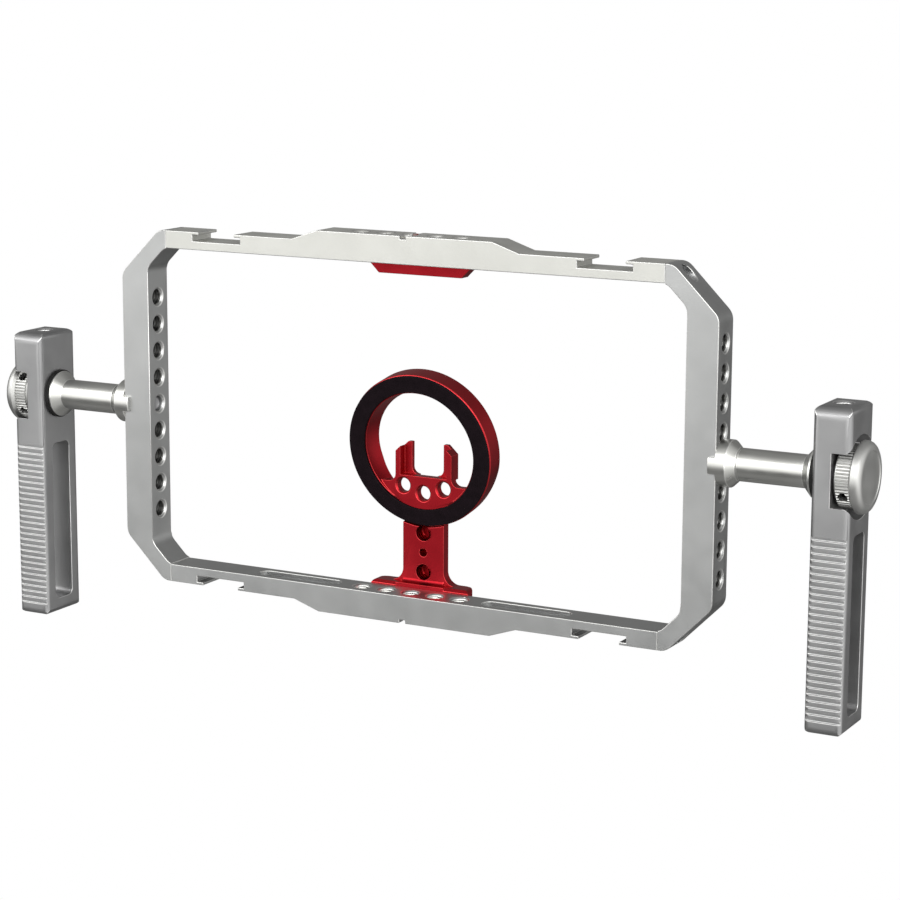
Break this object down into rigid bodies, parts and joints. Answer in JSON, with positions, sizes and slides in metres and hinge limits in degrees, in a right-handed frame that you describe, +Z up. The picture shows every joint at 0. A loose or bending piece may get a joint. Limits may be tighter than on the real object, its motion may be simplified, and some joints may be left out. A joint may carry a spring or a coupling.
{
  "type": "phone cage",
  "caption": "Rectangular metal phone cage with cold shoes and threaded holes, a magnetic ring on a bracket, and a swivelling grip handle on each side.",
  "frame": {"origin": "under the middle of the whole cage, on the surface that the two handles stand on", "axes": "+X to the right along the cage's width, +Y to the back, away from the pad, +Z up"},
  "size_m": [0.313, 0.0246, 0.1422],
  "materials": {
    "blasted_aluminium": "fine bead blast, clear anodised",
    "handle_aluminium": "fine bead blast, clear anodised",
    "turned_aluminium": "satin, turned, clear anodised",
    "red_anodised": "satin, red anodised",
    "black_pad": "matte",
    "washer_rubber": "matte",
    "screw_steel": "plain",
    "set_screw_black": "black oxide",
    "magnet_plating": "nickel plated",
    "yoke_steel": "plain"
  },
  "bodies": {
    "cage": {"left_upright": "blasted_aluminium", "right_upright": "blasted_aluminium", "top_bar": "blasted_aluminium", "bottom_bar": "blasted_aluminium", "corner_screws": "screw_steel", "ring_bracket": "red_anodised", "ring_pad": "black_pad", "ring_magnets": "magnet_plating", "magnet_yoke": "yoke_steel", "top_block": "red_anodised", "rear_screws": "screw_steel", "left_collar": "turned_aluminium", "left_post": "turned_aluminium", "left_grip_washer": "washer_rubber", "right_collar": "turned_aluminium", "right_post": "turned_aluminium", "right_grip_washer": "washer_rubber"},
    "left_handle_body": {"left_handle": "handle_aluminium", "left_knob_washer": "screw_steel"},
    "right_handle_body": {"right_handle": "handle_aluminium", "right_knob_washer": "screw_steel"},
    "left_knob_body": {"left_knob": "turned_aluminium", "left_clamp_bolt": "screw_steel", "left_set_screws": "set_screw_black"},
    "right_knob_body": {"right_knob": "turned_aluminium", "right_clamp_bolt": "screw_steel", "right_set_screws": "set_screw_black"}
  },
  "joints": [
    {"name": "left_handle_swing", "type": "hinge", "parent": "cage", "child": "left_handle_body", "pos_m": [-0.1471, -0.0011, 0.0785], "axis": [1, 0, 0], "continuous": true},
    {"name": "left_knob_turn", "type": "hinge", "parent": "cage", "child": "left_knob_body", "pos_m": [-0.15, -0.0011, 0.0785], "axis": [1, 0, 0], "continuous": true},
    {"name": "right_handle_swing", "type": "hinge", "parent": "cage", "child": "right_handle_body", "pos_m": [0.1471, -0.0011, 0.0785], "axis": [1, 0, 0], "continuous": true},
    {"name": "right_knob_turn", "type": "hinge", "parent": "cage", "child": "right_knob_body", "pos_m": [0.15, -0.0011, 0.0785], "axis": [1, 0, 0], "continuous": true}
  ]
}
